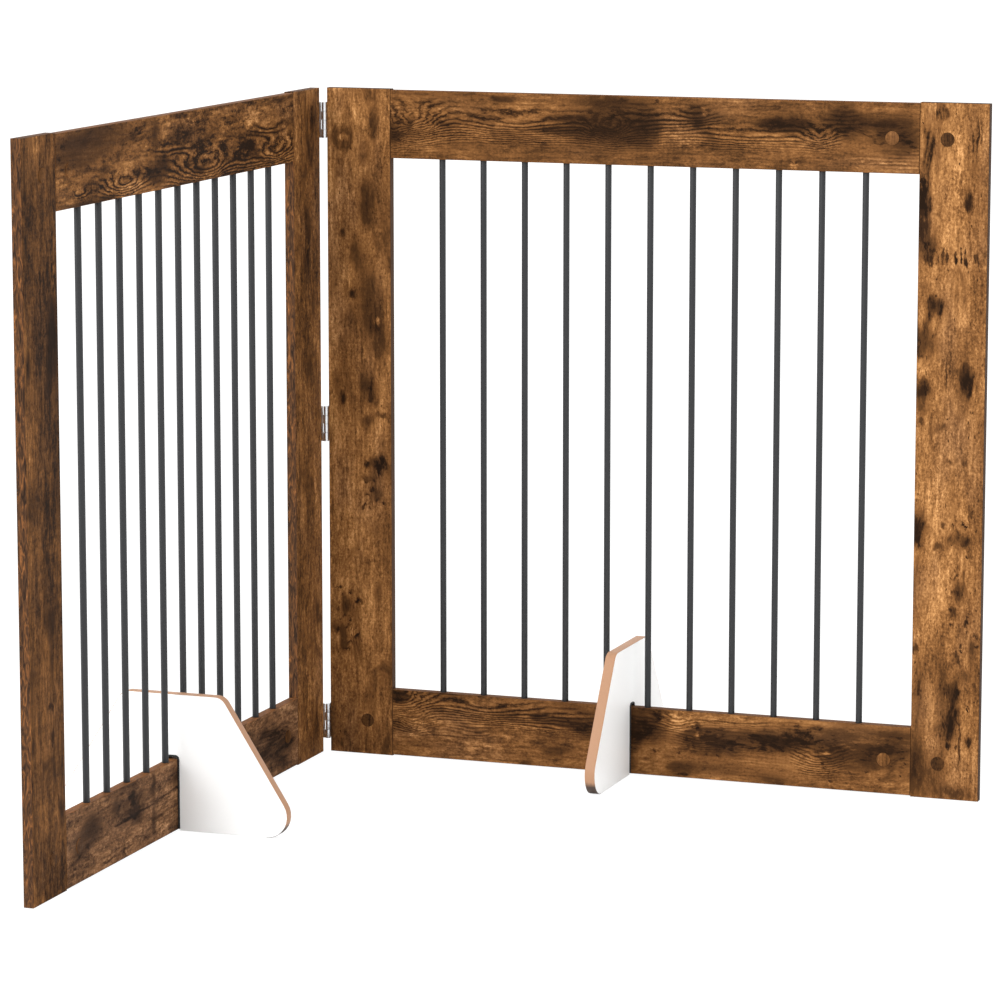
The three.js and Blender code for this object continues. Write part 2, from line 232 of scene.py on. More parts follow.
def buildDecorGroup():
    tree, given, out = newGroup("rusticDecor", [
        ("Board", "vector"), ("Rings", "float"), ("Stain", "float"), ("Tone", "float"),
        ("Mottle", "float"), ("Lines", "float"), ("Spacing", "float"), ("Pores", "float"),
        ("Grain", "float"), ("Speckle", "float"), ("Seed", "float")],
        [("Color", "color"), ("Roughness", "float"), ("Height", "float")])
    def ranged(value, name):
        return between(tree, value, *decor["ranges"][name])

    shift = join(tree, X=given["Seed"], Y=calc(tree, "MULTIPLY", given["Seed"], 0.37), Z=given["Seed"])
    place = vectorCalc(tree, "ADD", given["Board"], shift)
    layer = {name: noise(tree, place, *look) for name, look in decor["layers"].items()}

    # growth rings: even lines along the board, pushed aside and closed round each knot
    across = split(tree, given["Board"])["Y"]
    turns = calc(tree, "ADD", calc(tree, "DIVIDE", across, given["Spacing"]), given["Rings"])
    turns = calc(tree, "MULTIPLY_ADD", layer["broad"], 1.3, turns)
    turns = calc(tree, "MULTIPLY_ADD", layer["cloud"], 0.25, turns)
    wave = calc(tree, "SINE", calc(tree, "MULTIPLY", turns, 2 * math.pi))
    dark = ranged(wave, "darkLine")
    pale = ranged(wave, "paleLine")
    byKnot = ranged(calc(tree, "ABSOLUTE", given["Rings"]), "roundKnot")
    shown = calc(tree, "MAXIMUM", byKnot, ranged(layer["patch"], "linedPatch"))
    broken = calc(tree, "MULTIPLY_ADD", layer["crumb"], 0.5, layer["blot"])
    shown = calc(tree, "MULTIPLY", shown, ranged(broken, "brokenLine"))
    shown = calc(tree, "MULTIPLY", shown, given["Lines"])
    lined = calc(tree, "MULTIPLY_ADD", pale, 0.45, calc(tree, "MULTIPLY", dark, -1.0))
    lined = calc(tree, "MULTIPLY", lined, shown)

    # the print's own unevenness, coarse to fine
    value = calc(tree, "ADD", given["Tone"], 0.5)
    for strength, amounts in decor["strengths"].items():
        for name, amount in amounts.items():
            scaled = calc(tree, "MULTIPLY", given[strength], amount)
            value = calc(tree, "MULTIPLY_ADD", layer[name], scaled, value)
    value = calc(tree, "MULTIPLY_ADD", lined, decor["lineDepth"], value)

    # stains and pale patches break up into crumbs and fibres at their outlines
    ragged = 0.0
    for name, amount in decor["ragged"].items():
        ragged = calc(tree, "MULTIPLY_ADD", layer[name], amount, ragged)
    uneven = calc(tree, "MULTIPLY_ADD", ragged, decor["raggedReach"], 1.0)
    uneven = calc(tree, "MULTIPLY", given["Stain"], uneven)
    value = calc(tree, "MULTIPLY_ADD", ranged(uneven, "faded"), decor["fadeRise"], value)
    stained = calc(tree, "MULTIPLY", ranged(uneven, "stained"), decor["stainDepth"])
    stained = calc(tree, "MULTIPLY_ADD", ranged(uneven, "knot"), decor["knotDepth"], stained)
    loose = ranged(calc(tree, "ADD", layer["blot"], calc(tree, "MULTIPLY", ragged, 0.9)), "loose")
    loose = calc(tree, "MULTIPLY", loose, given["Mottle"])
    stained = calc(tree, "MULTIPLY_ADD", loose, decor["looseDepth"], stained)
    value = calc(tree, "MULTIPLY", value, calc(tree, "SUBTRACT", 1.0, stained, clamp=True))

    # short dark pores, and pale chips that gather in worn places
    pore = calc(tree, "MULTIPLY", ranged(layer["pore"], "pore"), given["Pores"])
    kept = calc(tree, "MULTIPLY_ADD", pore, -decor["poreDepth"], 1.0, clamp=True)
    value = calc(tree, "MULTIPLY", value, kept)
    chip = calc(tree, "MULTIPLY", ranged(layer["chip"], "chip"), ranged(layer["patch"], "worn"))
    value = calc(tree, "MAXIMUM", calc(tree, "MULTIPLY_ADD", chip, decor["chipRise"], value), 0.02)

    color = palette(tree, value, decorStops)
    cool = ranged(noise(tree, place, decor["coolStretch"], 3), "cool")
    feed(tree, out["Color"], blendColors(tree, cool, color, adjust(tree, color, **decor["coolColor"])))
    gloss = ranged(layer["fibre"], "gloss")
    feed(tree, out["Roughness"], calc(tree, "ADD", gloss, calc(tree, "MULTIPLY", pore, 0.12)))
    height = calc(tree, "MULTIPLY_ADD", layer["fibre"], 0.25, calc(tree, "MULTIPLY", lined, 0.9))
    feed(tree, out["Height"], calc(tree, "MULTIPLY_ADD", pore, -0.8, height))
    return tree


def buildEdgeGroup():
    # the decor of the narrow edges: short crooked streaks along the board
    tree, given, out = newGroup("edgeDecor", [
        ("Board", "vector"), ("Tone", "float"), ("Figure", "float"), ("Seed", "float")],
        [("Color", "color"), ("Height", "float")])
    place = vectorCalc(tree, "ADD", given["Board"], join(tree, X=given["Seed"]))
    crook = noise(tree, place, (52, 250, 250), detail=4, roughness=0.62, distortion=1.6)
    fine = noise(tree, place, (160, 900, 900), detail=3, roughness=0.6)
    slow = noise(tree, place, (9, 40, 40), detail=2)
    value = calc(tree, "ADD", given["Tone"], 0.5)
    value = calc(tree, "MULTIPLY_ADD", calc(tree, "MULTIPLY", crook, given["Figure"]), 0.46, value)
    value = calc(tree, "MULTIPLY_ADD", fine, 0.06, value)
    value = calc(tree, "MULTIPLY_ADD", slow, 0.07, value)
    feed(tree, out["Color"], palette(tree, value, edgeStops))
    feed(tree, out["Height"], crook)
    return tree


featureGroup = buildFeatureGroup()
decorGroup = buildDecorGroup()
edgeGroup = buildEdgeGroup()
print("decor groups ready")


# the boards: a feature is along, across, reach along, reach across, stain and, round a knot, its rings.
# The first four are in mm, from the board's lower or hinge-side end and its middle line; a negative
# stain is a pale patch

boards = {
    "right_hinge_stile": {
        "tone": 0.07, "mottle": 1.5, "lines": 0.8, "pores": 0.7, "grain": 1.0, "speckle": 1.7,
        "spacing": 0.006, "seed": 1.3, "edgeTone": -0.24, "edgeFigure": 0.35,
        "features": [
            (743, -20, 8.5, 11.5, 4.5), (743, -20, 6.9, 9.3, -4.8, 1.2), (729, -18, 3, 9, 0.7),
            (709, -24, 13, 4, 0.8, 0.8), (757, 19, 22, 6, 0.85), (668, 11, 24, 10, 1.0, 0.8),
            (629, -20, 5, 3, 1.5), (556, -9, 5, 4, 1.6), (604, -5, 18, 8, 0.7), (545, 14, 44, 16, 0.85),
            (521, 22, 9, 7, 1.1), (762, -6, 38, 3, -0.45), (524, 24, 4, 3, -2.0), (645, 12, 9, 6, 0.6),
            (500, 26, 20, 9, 0.8), (690, -30, 60, 3.5, 0.35), (640, 26, 60, 6, -0.22),
            (431, -22, 7, 3.5, 1.7), (450, -30, 18, 6, 0.5), (446, 10, 16, 11, 0.85),
            (431, 18, 9, 6, 0.7), (405, 9, 8, 9, 0.75), (412, 28, 5, 8, 0.7),
            (352, 21, 11, 11, 0.95, 0.8), (335, 10, 5, 9, 0.6), (318, 20, 12, 10, 0.6),
            (275, 20, 14, 14, 0.35), (246, -16, 3, 2, 0.9), (330, -22, 30, 8, -0.2),
            (500, -18, 40, 4, 0.4), (180, -20, 14, 7, 0.95, 1.2), (152, -30, 8, 10, 0.8, 0.6),
            (137, -22, 14, 5, 0.9), (150, -10, 8, 6, -0.75, 2.0), (130, -7, 20, 3, 0.35, 0.9),
            (188, 0, 5, 4, 0.7, 1.2), (200, 22, 16, 6, 0.5), (70, 12, 26, 12, 0.35), (12, -28, 10, 8, 0.4)],
        "scatters": [
            {"along": (300, 365), "across": (2, 30), "reach": (1.0, 3.0), "width": (0.9, 2.6),
             "stain": (0.9, 1.8), "count": 14, "seed": 21},
            {"along": (125, 205), "across": (-36, -4), "reach": (1.0, 3.0), "width": (0.9, 2.6),
             "stain": (0.9, 1.8), "count": 12, "seed": 22}],
    },
    "right_free_stile": {
        "tone": 0.12, "mottle": 1.35, "lines": 0.35, "pores": 1.0, "grain": 0.95, "speckle": 1.9,
        "spacing": 0.006, "seed": 4.1, "edgeTone": -0.33, "edgeFigure": 0.25,
        "features": [
            (755, -30, 28, 8, 0.55), (788, -10, 9, 14, 0.45), (728, 24, 24, 10, 0.4),
            (689, 17, 8, 4, 2.6), (668, -38, 34, 12, 2.0), (640, -24, 20, 8, 0.75),
            (571, -20, 11, 8, 1.9), (528, -34, 18, 18, 0.85), (488, 18, 17, 6, 2.2),
            (474, -34, 12, 10, 1.8), (452, -34, 10, 8, 0.7), (437, -34, 4, 4.5, 1.1),
            (431, -10, 6, 9, 0.8), (392, -3, 4, 8, 0.75), (393, 18, 5, 4, 0.8), (312, -37, 18, 8, 1.2),
            (319, -6, 4, 4, 0.9), (303, 11, 11, 15, 0.8, 3.0), (295, -9, 6, 7, 1.3), (300, 22, 4, 3, 1.4),
            (243, 12, 10, 6, 1.0, 1.0), (219, 7, 8, 3.8, 1.9), (208, 22, 4, 3, 1.6),
            (175, -37, 5, 3, 1.2), (176, 31, 14, 4.5, 0.9), (146, 24, 10, 12, 0.5),
            (126, 8, 12, 7, 1.2, 1.0), (88, 5, 22, 9, 0.9), (70, 28, 7, 5, 0.9), (60, 17, 30, 1.2, 1.2),
            (28, -35, 30, 12, 1.1), (30, -12, 26, 14, 0.75), (8, 14, 8, 18, 1.3), (100, -34, 60, 9, 0.5),
            (765, 27, 20, 1.2, 1.2), (772, 31, 16, 1.0, 0.9), (758, 22, 14, 0.9, 0.8),
            (505, -1, 14, 1.0, 1.3), (496, -5, 18, 1.0, 1.3), (494, 3, 12, 1.0, 1.0), (497, 6, 4, 6, 0.8),
            (600, 10, 90, 14, -0.15), (372, -12, 60, 14, -0.35), (700, 8, 70, 16, -0.22),
            (330, 20, 10, 16, -0.5), (730, 8, 60, 5, -0.3), (655, -24, 24, 3, -0.6), (627, 10, 7, 30, 0.3)],
        "scatters": [
            {"along": (619, 635), "across": (-33, 37), "reach": (2.5, 5.5), "width": (0.7, 1.5),
             "stain": (1.0, 1.9), "count": 32, "seed": 7},
            {"along": (60, 345), "across": (4, 36), "reach": (1.1, 3.2), "width": (0.9, 2.4),
             "stain": (0.9, 2.0), "count": 34, "seed": 12}],
    },
    "right_top_rail": {
        "tone": -0.045, "mottle": 1.3, "lines": 1.0, "pores": 0.45, "grain": 0.95, "speckle": 1.2,
        "spacing": 0.0043, "seed": 2.2, "edgeTone": -0.02, "edgeFigure": 0.6,
        "features": [
            (4, -10, 11, 14, 0.9, 4.0), (27, 3, 34, 24, 0.1, 6.0), (24, 2, 7, 8, 0.7, 1.0),
            (67, 2, 11, 5, 0.55), (150, 2, 92, 18, -0.12, 4.2), (132, 2, 30, 8, -0.25),
            (215, -2, 40, 5, 0.45), (273, 2, 24, 15, 0.55, 5.0), (276, 2, 62, 22, 0.95, 1.5),
            (262, 34, 34, 12, 0.85), (318, 6, 20, 24, 0.9, 1.5), (225, 12, 36, 6, 0.6),
            (349, 10, 24, 15, -0.75, 1.5), (362, -14, 40, 10, -0.4), (379, 20, 24, 12, 1.2, 2.2),
            (377, 11, 5, 4, 1.2), (386, 24, 3, 5, -1.0), (484, 11, 36, 8, 1.25, 0.8),
            (440, -5, 90, 14, -0.15, 2.2), (523, 0, 16, 14, -0.35, 3.0), (551, 20, 22, 15, 0.95, 1.2),
            (585, 16, 30, 8, 0.75), (598, 15, 16, 5, 0.8), (622, 6, 22, 26, 0.8), (600, -8, 40, 20, 0.3),
            (493, -33, 7, 5, -1.5, 1.2), (486, -30, 3, 4, 0.8), (362, -24, 18, 4, 0.6),
            (600, -29, 30, 1.2, -0.9), (570, -27, 10, 3, -0.5), (200, -24, 60, 8, 0.2),
            (145, 32, 16, 4, 0.7), (130, 34, 6, 3, 0.9), (330, 34, 2, 2, 1.6), (90, -22, 50, 10, 0.25),
            (60, 34, 60, 8, 0.3)],
    },
    "right_bottom_rail": {
        "tone": 0.01, "mottle": 1.4, "lines": 1.0, "pores": 0.45, "grain": 0.95, "speckle": 1.2,
        "spacing": 0.0042, "seed": 3.4, "edgeTone": -0.06, "edgeFigure": 0.6,
        "features": [
            (8, 28, 38, 26, 0.15, 6.5), (7, 31, 12, 8, 0.95), (29, 0, 16, 10, -0.45, 2.8),
            (58, 20, 14, 5, 0.5), (120, 22, 70, 16, -0.05, 3.8), (104, -6, 24, 8, 1.0, 1.2),
            (96, -4, 4, 3, -0.8), (12, -5, 12, 7, 0.8), (31, -22, 22, 5, 0.65),
            (238, 15, 44, 17, 1.15, 1.4), (226, 24, 26, 4, -0.7), (187, 20, 12, 6, 0.8, 0.8),
            (207, -20, 26, 6, 0.85), (169, -37, 14, 4, 0.8), (197, 6, 36, 5, -0.5, 1.2),
            (60, -12, 60, 5, -0.25, 0.9), (590, 16, 90, 30, 0.55), (460, 22, 60, 14, 0.4),
            (110, -14, 120, 30, -0.42), (450, -10, 150, 30, 0.22), (316, 18, 28, 21, 1.2, 1.2),
            (300, -8, 10, 30, 0.8), (356, 26, 20, 12, -0.75, 2.4), (340, -6, 26, 8, -0.35),
            (386, 8, 26, 13, 1.2, 2.6), (382, 12, 3, 6, -1.1), (391, 2, 3, 4, -0.8), (383, 24, 4, 4, 1.0),
            (414, 4, 26, 12, 0.85), (330, -10, 2.4, 2.4, 1.9), (362, -28, 18, 7, 0.7),
            (484, 12, 30, 8, 1.4, 1.0), (465, 14, 30, 5, 0.5), (527, -6, 26, 18, -0.25, 3.4),
            (538, 3, 4, 3, -1.0), (553, 6, 20, 17, 1.0, 1.0), (607, 11, 22, 6, 1.0),
            (590, -2, 14, 12, 0.5), (618, -28, 34, 9, -0.75, 0.6), (560, -30, 30, 8, -0.3),
            (622, 26, 24, 12, 0.55), (440, -28, 60, 6, 0.35), (420, 32, 60, 6, -0.1, 2.0),
            (476, -36, 20, 4, 0.5)],
        "scatters": [
            {"along": (360, 410), "across": (-14, 22), "reach": (1.0, 3.4), "width": (0.8, 2.2),
             "stain": (0.9, 1.8), "count": 12, "seed": 31},
            {"along": (530, 632), "across": (-30, 34), "reach": (1.0, 3.4), "width": (0.8, 2.0),
             "stain": (0.8, 1.6), "count": 14, "seed": 32}],
    },
    "left_free_stile": {
        "tone": -0.15, "mottle": 1.45, "lines": 0.4, "pores": 0.4, "grain": 1.0, "speckle": 1.1,
        "spacing": 0.006, "seed": 5.6, "edgeTone": -0.15, "edgeFigure": 1.4,
        "features": [
            (791, -2, 8, 2.6, -1.5), (755, -33, 30, 3.5, 0.6), (740, -33, 5, 4, 0.9),
            (770, 5, 10, 5, -0.3, 1.2), (652, 31, 20, 7, -0.8), (580, 26, 48, 14, 0.95),
            (612, 30, 34, 10, 0.6), (597, 8, 1.4, 14, 0.8), (607, -15, 34, 1.2, 0.8),
            (566, -32, 22, 6, 0.7), (520, 26, 60, 3, -0.4), (363, 6, 10, 5, 0.7), (294, 10, 17, 12, 1.0),
            (310, 27, 8, 5, 0.7), (250, 12, 24, 7, 0.6), (204, 8, 4, 7, 1.1), (170, 12, 8, 3.4, 1.2),
            (90, 29, 16, 7, 0.8), (170, -36, 12, 3, 0.9), (60, -34, 50, 5, 0.4), (420, 32, 70, 5, 0.35),
            (40, -2, 60, 12, -0.15), (180, -12, 24, 1.5, -0.6), (460, -6, 90, 14, -0.1),
            (700, 14, 70, 12, -0.15)],
    },
    "left_hinge_stile": {
        "tone": 0.01, "mottle": 1.7, "lines": 0.4, "pores": 0.4, "grain": 1.1, "speckle": 1.9,
        "spacing": 0.006, "seed": 6.2, "edgeTone": -0.16, "edgeFigure": 1.4,
        "features": [
            (761, 16, 18, 6, 0.8), (634, 2, 22, 9, 0.85), (617, 1, 4, 3, -1.0), (595, 0, 18, 5, 0.6),
            (546, 16, 18, 6, 0.6), (523, 2, 6, 6, -0.6, 1.0), (515, -14, 10, 8, 0.5),
            (471, 2, 20, 9, 0.7), (202, -26, 14, 5, 0.4, 1.5), (300, 20, 60, 6, -0.3),
            (360, 10, 60, 10, -0.2), (150, -20, 50, 8, 0.3), (700, -24, 60, 5, -0.3),
            (430, 30, 30, 4, 0.4)],
    },
    "left_top_rail": {
        "tone": -0.05, "mottle": 2.0, "lines": 1.4, "pores": 0.4, "grain": 1.0, "speckle": 1.5,
        "spacing": 0.0066, "seed": 7.9, "edgeTone": 0.02, "edgeFigure": 0.5,
        "features": [
            (85, 26, 80, 16, 0.95), (50, 6, 50, 16, 0.4), (250, -22, 46, 16, 0.55),
            (166, -26, 52, 13, -0.35, 4.2), (130, -36, 18, 4, 0.7), (58, -26, 20, 8, -0.3, 2.0),
            (272, -10, 18, 9, 0.85), (250, -25, 14, 8, 0.75), (384, -25, 84, 20, -0.2, 6.0),
            (371, -27, 18, 6, 1.1), (590, -24, 62, 16, -0.3, 5.2), (500, -30, 40, 14, -0.1, 2.4),
            (384, 31, 6, 9, 0.9), (311, 18, 6, 11, 0.9), (248, 22, 10, 14, 0.7), (480, 22, 120, 18, -0.7),
            (355, 30, 40, 8, -0.45), (225, 8, 3, 8, -0.5), (560, 6, 60, 8, 0.3, 1.5),
            (300, 4, 60, 8, 0.1, 1.6), (620, 20, 30, 20, -0.3), (70, -38, 60, 3, 0.7),
            (330, -38, 40, 3, 0.7), (200, 30, 40, 8, 0.25)],
    },
    "left_bottom_rail": {
        "tone": 0.02, "mottle": 2.0, "lines": 0.6, "pores": 0.45, "grain": 1.1, "speckle": 1.5,
        "spacing": 0.005, "seed": 8.8, "edgeTone": 0.06, "edgeFigure": 0.6, "saturation": 0.9,
        "features": [
            (62, 12, 26, 18, 1.0), (30, -5, 18, 16, 0.5), (124, 22, 15, 11, 0.7), (167, 22, 8, 9, 0.85),
            (223, 24, 7, 14, 0.95), (285, 22, 12, 11, 0.85), (180, -3, 18, 7, 0.75),
            (223, -18, 6, 16, 1.1), (236, -14, 14, 4, 0.8), (150, 1, 26, 1.4, 1.0),
            (195, 3, 26, 1.3, 1.0), (245, 6, 26, 1.3, 1.1), (290, 8, 22, 1.3, 1.1),
            (110, -33, 26, 1.4, 1.0), (150, -30, 24, 1.4, 1.0), (188, -26, 20, 1.4, 0.9),
            (143, -32, 3, 6, 1.0), (243, -28, 20, 10, -0.6), (158, -24, 30, 7, -0.4),
            (290, -10, 14, 8, -0.3), (560, 10, 50, 16, 0.3, 1.4), (600, -10, 30, 16, 0.4),
            (500, 0, 40, 14, -0.2), (420, -6, 60, 16, 0.3)],
    },
}


decorSettings = ("tone", "mottle", "lines", "spacing", "pores", "grain", "speckle", "seed")


def boardPlace(tree, node):
    # board coordinates: along, across and through the board, from its lower end and its middle line
    low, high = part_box(node)
    size = high - low
    through = 1 if node.startswith("right") else 0
    along = max((axis for axis in range(3) if axis != through), key=lambda axis: size[axis])
    across = 3 - through - along
    spot = addNode(tree, "ShaderNodeTexCoord").outputs
    parts = split(tree, spot["Object"])
    turned = join(tree, X=parts[along], Y=parts[across], Z=parts[through])
    start = (low[along], (low[across] + high[across]) / 2, low[through])
    board = vectorCalc(tree, "SUBTRACT", turned, start)
    return board, calc(tree, "ABSOLUTE", split(tree, spot["Normal"])[through])


def scattered(about):
    # small dark marks spread over part of a board
    dice = random.Random(about["seed"])
    return [(dice.uniform(*about["along"]), dice.uniform(*about["across"]), dice.uniform(*about["reach"]),
             dice.uniform(*about["width"]), dice.uniform(*about["stain"])) for _ in range(about["count"])]


def boardMaterial(node, look):
    material, tree, shader = newMaterial("rusticBoard_" + node)
    board, facing = boardPlace(tree, node)
    # knots and stains get ragged outlines from a small warp, and don't change through the board
    ragged = addNode(tree, "ShaderNodeTexNoise", {
        "Vector": vectorCalc(tree, "MULTIPLY", board, (45, 90, 0)), "Scale": 1.0, "Detail": 6.0,
        "Roughness": 0.72}).outputs["Color"]
    pushed = vectorCalc(tree, "MULTIPLY", vectorCalc(tree, "SUBTRACT", ragged, (0.5, 0.5, 0.5)),
                        (decor["warpReach"] * 4, decor["warpReach"] * 1.6, 0))
    flat = vectorCalc(tree, "MULTIPLY", board, (1, 1, 0))
    warped = vectorCalc(tree, "ADD", flat, pushed)
    rings, stain = 0.0, 0.0
    features = list(look["features"])
    for about in look.get("scatters", ()):
        features += scattered(about)
    for along, across, reachAlong, reachAcross, darkness, *knot in features:
        made = useGroup(tree, featureGroup, **{
            "Board": warped, "Place": (along * mm, across * mm, 0),
            "Reach": (reachAlong * mm, reachAcross * mm, 1),
            "Rings": knot[0] if knot else 0, "Stain": darkness, "Rings So Far": rings, "Stain So Far": stain})
        rings, stain = made["Rings"], made["Stain"]
    settings = {name.capitalize(): look[name] for name in decorSettings}
    face = useGroup(tree, decorGroup, Board=board, Rings=rings, Stain=stain, **settings)
    edge = useGroup(tree, edgeGroup, Board=board, Tone=look["edgeTone"], Figure=look["edgeFigure"],
                    Seed=look["seed"])
    onFace = between(tree, facing, 0.70, 0.97)
    color = face["Color"]
    if "saturation" in look:
        color = adjust(tree, color, Saturation=look["saturation"])
    feed(tree, shader.inputs["Base Color"], blendColors(tree, onFace, edge["Color"], color))
    feed(tree, shader.inputs["Roughness"], face["Roughness"])
    shader.inputs["Specular IOR Level"].default_value = decor["sheen"]
    height = calc(tree, "MULTIPLY", face["Height"], onFace)
    height = calc(tree, "ADD", height, calc(tree, "MULTIPLY", edge["Height"], 0.2))
    addBump(tree, shader, height, 0.35, 0.0002)
    return material


def dress(node, material):
    nodes[node].data.materials.clear()
    nodes[node].data.materials.append(material)


for node, look in boards.items():
    dress(node, boardMaterial(node, look))
print("boards dressed:", len(boards))


# mesh helpers

def finishPiece(bm, name, body, materials, replaced=(), smoothAngle=None):
    bmesh.ops.remove_doubles(bm, verts=bm.verts, dist=1e-7)
    bmesh.ops.recalc_face_normals(bm, faces=bm.faces)
    mesh = bpy.data.meshes.new(name)
    bm.to_mesh(mesh)
    bm.free()
    for material in materials:
        mesh.materials.append(material)
    piece = bpy.data.objects.new(name, mesh)
    scene.collection.objects.link(piece)
    if smoothAngle is not None:
        mesh.shade_smooth()
        mesh.set_sharp_from_angle(angle=math.radians(smoothAngle))
    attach(piece, body)
    if replaced:
        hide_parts(*replaced)
    return piece


def softenEdges(bm, offset, segments, limit=30):
    sharp = [edge for edge in bm.edges if edge.is_manifold and edge.calc_face_angle() > math.radians(limit)]
    bmesh.ops.bevel(bm, geom=sharp, offset=offset, offset_type="OFFSET", affect="EDGES", segments=segments,
                    profile=0.5, material=-1, clamp_overlap=True)


def makeBar(low, high, sides, rimRound, segments):
    # an upright round bar that fills its box, with softened ends
    radius = (high.x - low.x) / 2
    bm = bmesh.new()
    bmesh.ops.create_cone(bm, cap_ends=True, cap_tris=False, segments=sides, radius1=radius, radius2=radius,
                          depth=high.z - low.z, matrix=Matrix.Translation((low + high) / 2))
    rims = [edge for edge in bm.edges if abs(edge.verts[0].co.z - edge.verts[1].co.z) < 1e-6]
    bmesh.ops.bevel(bm, geom=rims, offset=rimRound, offset_type="OFFSET", affect="EDGES", segments=segments,
                    profile=0.5, material=-1)
    return bm


def movedVerts(made):
    return [item for item in made["geom"] if isinstance(item, bmesh.types.BMVert)]


def bodyOf(side):
    return side + "_panel"


# rods, with turned ends and a charcoal powder coat

rods = {
    "count": 11,
    "sides": 28,
    "chamfer": 0.0005,
    "color": (61, 62, 64),
    "gain": 0.54,
    "roughness": (0.42 - 0.05, 0.42 + 0.07),
    "sheen": 0.25,
    "peelScale": 900.0,
}


def buildCoatGroup():
    # powder coat: a fine orange peel and faint cloudiness
    tree, given, out = newGroup("powderCoat", [("Place", "vector"), ("Peel", "float"), ("Base", "color")],
                                [("Color", "color"), ("Roughness", "float"), ("Height", "float")])
    peel = addNode(tree, "ShaderNodeTexNoise", {
        "Vector": given["Place"], "Scale": given["Peel"], "Detail": 2.0}).outputs["Fac"]
    cloud = noise(tree, given["Place"], (38, 38, 7), detail=3)
    feed(tree, out["Color"], adjust(tree, given["Base"], Value=between(tree, cloud, -1.0, 1.0, 0.95, 1.05)))
    feed(tree, out["Roughness"], between(tree, cloud, -1.0, 1.0, *rods["roughness"]))
    feed(tree, out["Height"], peel)
    return tree


def rodMaterial():
    material, tree, shader = newMaterial("charcoalCoat")
    coat = useGroup(tree, buildCoatGroup(), Place=ownPlace(tree), Peel=rods["peelScale"],
                    Base=shade(*rods["color"], rods["gain"]))
    feed(tree, shader.inputs["Base Color"], coat["Color"])
    feed(tree, shader.inputs["Roughness"], coat["Roughness"])
    shader.inputs["Specular IOR Level"].default_value = rods["sheen"]
    addBump(tree, shader, coat["Height"], 0.25, 0.0001)
    return material


def makeRod(side, number, material):
    node = f"{side}_rod_{number:02d}"
    bm = makeBar(*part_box(node), rods["sides"], rods["chamfer"], 2)
    finishPiece(bm, node + "_coated", bodyOf(side), [material], [node], smoothAngle=40)


coatMaterial = rodMaterial()
for side in ("right", "left"):
    for number in range(1, rods["count"] + 1):
        makeRod(side, number, coatMaterial)
print("rods made:", 2 * rods["count"])


# hinges: leaves with softened edges, round-ended pins, countersunk screws

hinges = {
    "levels": ("bottom", "middle", "top"),
    "edgeRound": 0.00018,
    "pinSides": 32,
    "pinRound": 0.0006,
    "screwSpacing": 0.026,
    "screwRadius": 0.0026,
    "screwRise": 0.00016,
    "screwTaper": 0.92,
    "screwRim": 0.00025,
    "screwBed": 0.001,
    "crossReach": 0.0016,
    "crossWidth": 0.0007,
    "crossDepth": 0.00013,
    "crossDraft": 0.00006,
    # the cross recess's darker grey is painted shade
    "zincColor": (214, 216, 219),
    "recessShadeColor": (92, 93, 95),
}


def buildPlateGroup():
    # bright zinc: rolling streaks along z, small cloudy spots, fine scratches
    tree, given, out = newGroup("zincPlate", [("Place", "vector"), ("Base", "color")],
                                [("Color", "color"), ("Roughness", "float"), ("Height", "float")])
    rolled = noise(tree, given["Place"], (2600, 2600, 60), detail=3, roughness=0.6)
    cloud = noise(tree, given["Place"], (170, 170, 170), detail=3)
    value = calc(tree, "MULTIPLY_ADD", rolled, 0.05, calc(tree, "MULTIPLY_ADD", cloud, 0.07, 0.96))
    rough = calc(tree, "MULTIPLY_ADD", rolled, 0.06, calc(tree, "MULTIPLY_ADD", cloud, 0.08, 0.34))
    feed(tree, out["Color"], adjust(tree, given["Base"], Value=value))
    feed(tree, out["Roughness"], rough)
    feed(tree, out["Height"], rolled)
    return tree


plateGroup = buildPlateGroup()


def metalMaterial(name, color, bump):
    material, tree, shader = newMaterial(name)
    plate = useGroup(tree, plateGroup, Place=ownPlace(tree), Base=shade(*color))
    feed(tree, shader.inputs["Base Color"], plate["Color"])
    feed(tree, shader.inputs["Roughness"], plate["Roughness"])
    shader.inputs["Metallic"].default_value = 1.0
    addBump(tree, shader, plate["Height"], bump, 0.00005)
    return material


zincMaterial = metalMaterial("brightZinc", hinges["zincColor"], 0.15)
# painted shade: a darker grey for the screws' cross recesses
recessShadeMaterial = metalMaterial("screwRecessPaintedShade", hinges["recessShadeColor"], 0.1)


def makeLeaf(level, side):
    node = f"{level}_hinge_{side}_leaf"
    bm = bmesh.new()
    bm.from_mesh(nodes[node].data)
    bmesh.ops.remove_doubles(bm, verts=bm.verts, dist=1e-6)
    bmesh.ops.dissolve_limit(bm, angle_limit=math.radians(1), verts=bm.verts, edges=bm.edges)
    softenEdges(bm, hinges["edgeRound"], 2, limit=50)
    bmesh.ops.triangulate(bm, faces=[face for face in bm.faces if len(face.verts) > 4])
    finishPiece(bm, node + "_plated", bodyOf(side), [zincMaterial], [node], smoothAngle=32)


def makePin(level):
    node = f"{level}_hinge_pin"
    bm = makeBar(*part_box(node), hinges["pinSides"], hinges["pinRound"], 4)
    finishPiece(bm, node + "_turned", bodyOf("right"), [zincMaterial], [node], smoothAngle=40)


def isInCross(spot):
    x, y = abs(spot.x), abs(spot.y)
    return min(x, y) < hinges["crossWidth"] / 2 and max(x, y) < hinges["crossReach"]


def cutField(bm, place, normal):
    # cuts only the faces that look up, and leaves the sides of the head whole
    field = [face for face in bm.faces if face.normal.z > 0.9]
    around = {part for face in field for part in (*face.edges, *face.verts)}
    bmesh.ops.bisect_plane(bm, geom=[*field, *around], dist=1e-7, plane_co=place, plane_no=normal)


